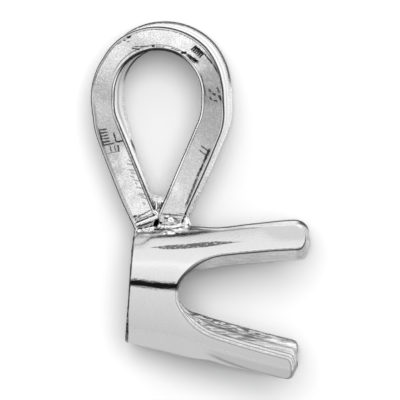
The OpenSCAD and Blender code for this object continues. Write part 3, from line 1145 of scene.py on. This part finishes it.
def make_metal():
    """White gold: polished, with satin strip faces, cut faces and solder by mask."""
    material = bpy.data.materials.new("white_gold_finish")
    tree = Metal(material)
    rough, bump = surface_of(tree)
    strip = strip_tone(tree)
    x, y, z = tree.ragged(tree.place)
    tone = tree.mix(tree.attribute("strip"), head_tone(tree, x, y, z), strip)
    tone = tree.mix(tree.attribute("soldered"), tone, tree.fine.map(SOLDER_NOISE, *SOLDER))
    # Painted shade in the crevices
    tone = tone * (1 - tree.attribute("crevice") * CREVICE_SHADE)
    # Painted highlights and painted shade on the front of the solder, then the base tone
    tone = add_marks(tree, tone, x, y, SOLDER_HIGHLIGHTS_AND_SHADE, z.rise(SOLDER_FRONT), 1.0) * BASE_TONE
    inputs = {"Base Color": tree.grey(tone), "Metallic": 1.0, "Roughness": rough, "Normal": bump}
    tree.node("ShaderNodeOutputMaterial", {0: tree.add("ShaderNodeBsdfPrincipled", inputs)})
    return material


# The photograph's camera, in the frame of the collar
CAMERA_YAW = math.radians(2.2)
CAMERA_PITCH = math.radians(2.6)
CAMERA_ROLL = math.radians(-0.739)
IMAGE_TURN = math.radians(4.9875)
FRAME_WIDTH = 10.4
IMAGE_MID = (1.770, 2.221)
LENS = 1400.0
SENSOR = 36.0


def camera_axes():
    """The camera's right, up and backward directions in the frame of the collar."""
    yaw, pitch = CAMERA_YAW, CAMERA_PITCH
    back = Vector((math.sin(yaw) * math.cos(pitch), math.sin(pitch), math.cos(yaw) * math.cos(pitch)))
    right = Vector((0, 1, 0)).cross(back).normalized()
    up = back.cross(right)
    turned_right = right * math.cos(IMAGE_TURN) + up * math.sin(IMAGE_TURN)
    turned_up = up * math.cos(IMAGE_TURN) - right * math.sin(IMAGE_TURN)
    roll = Matrix.Rotation(-CAMERA_ROLL, 3, "X")
    return roll @ turned_right, roll @ turned_up, roll @ back


def add_camera():
    """The scene's camera: far off, with a long lens that takes in the frame's width."""
    right, up, back = (LAY @ axis for axis in camera_axes())
    collar_mid = -Vector(REST_MID)
    aim = collar_mid + right * IMAGE_MID[0] + up * IMAGE_MID[1]
    distance = FRAME_WIDTH * LENS / SENSOR
    data = bpy.data.cameras.new("camera")
    data.lens = LENS
    data.sensor_width = SENSOR
    data.clip_start = 0.01
    data.clip_end = 10.0
    camera = add_object("camera", data)
    axes = Matrix((right, up, back)).transposed().to_4x4()
    camera.matrix_world = Matrix.Translation((aim + back * distance) * MM) @ axes
    bpy.context.scene.camera = camera


# Floor: half its size in metres, and its tone for the camera
FLOOR_HALF = 0.6
FLOOR_TONE = 0.127


def add_floor():
    """Plain white floor under the part. Its tone in reflections differs along the table: painted shade,
    darker on the side of the lower prongs and far past the bail.
    """
    mesh = bpy.data.meshes.new("floor")
    corners = [(x * FLOOR_HALF, y * FLOOR_HALF, 0) for x, y in ((-1, -1), (1, -1), (1, 1), (-1, 1))]
    mesh.from_pydata(corners, [], [(0, 1, 2, 3)])
    material = bpy.data.materials.new("floor_paper")
    tree = Tree(material)
    _, forward, _ = tree.split(tree.add("ShaderNodeTexCoord", output="Object"))
    # Painted shade in reflections: the floor is darker on the side of the lower prongs and far past the
    # bail
    bounce = forward.map((-2.5 * MM, 0.5 * MM), 0.088, 0.14) * forward.map((5.0 * MM, 8.0 * MM), 1.0, 0.72)
    is_camera = tree.add("ShaderNodeLightPath", output="Is Camera Ray")
    grey = tree.grey(tree.mix(is_camera, bounce, FLOOR_TONE))
    tree.node("ShaderNodeOutputMaterial", {0: tree.add("ShaderNodeBsdfDiffuse", {"Color": grey})})
    mesh.materials.append(material)
    add_object("floor", mesh)


# Dark gap of the studio: its middle round the collar's axis, the fade of its edge, in degrees
GAP_AT = 7.5
GAP_EDGE = (6.7, 7.5)
GAP_TONE = 0.01

# Lamps for the floor: name, energy, angle of the disc and tilt, in degrees
LAMPS = [("key", 15.5, 30, (-12, -4)), ("fill", 11.2, 80, (-28, -10))]


def add_studio():
    """White tent: a dark gap over the camera, a pale patch, pale ends and a rim near the table."""
    world = bpy.data.worlds.new("studio")
    bpy.context.scene.world = world
    tree = Tree(world)
    ray = tree.add("ShaderNodeTexCoord", output="Generated")
    ways = [LAY @ Vector(way) for way in ((1, 0, 0), (0, 1, 0), (0, 0, 1))] + [Vector((0, 0, 1))]
    along, upward, toward, height = (tree.vectors("DOT_PRODUCT", {0: ray, 1: way}, "Value") for way in ways)
    swing = tree.degrees(upward, toward)
    gap = abs(swing - GAP_AT).map(GAP_EDGE, GAP_TONE, 1.0)
    level = tone_by_angle(tree, swing, SWING_TONES)
    patch = along.rise((-0.26, -0.18), 0.4) * along.fall((-0.1, -0.02)) * swing.fall((-5.0, -1.0))
    ends = (along * along).rise((0.2, 0.6))
    level = level + patch * swing.rise((-60.0, -40.0)) + ends * 0.25
    rim = 1 - ends * height.fall((0.0, 0.12), 0.3)
    level = rim * gap * level
    is_camera = tree.add("ShaderNodeLightPath", output="Is Camera Ray")
    strength = tree.mix(is_camera, level, 1.0)
    light = tree.add("ShaderNodeBackground", {"Color": (1, 1, 1, 1), "Strength": strength})
    tree.node("ShaderNodeOutputWorld", {0: light})
    for name, energy, angle, tilt in LAMPS:
        data = bpy.data.lights.new(name, "SUN")
        data.energy = energy
        data.angle = math.radians(angle)
        lamp = add_object(name, data)
        lamp.rotation_euler = (math.radians(tilt[0]), math.radians(tilt[1]), 0)
        lamp.visible_glossy = False


# With fewer bounces between its shiny walls, the inside of the loop ends in a black streak
bpy.context.scene.cycles.glossy_bounces = 12
add_camera()
add_floor()
add_studio()
bpy.context.scene.view_settings.view_transform = "Standard"
bpy.context.scene.view_settings.look = "None"

setting = make_setting()
setting.data.materials.append(make_metal())
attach(setting, "root")
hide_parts("pendant_setting")
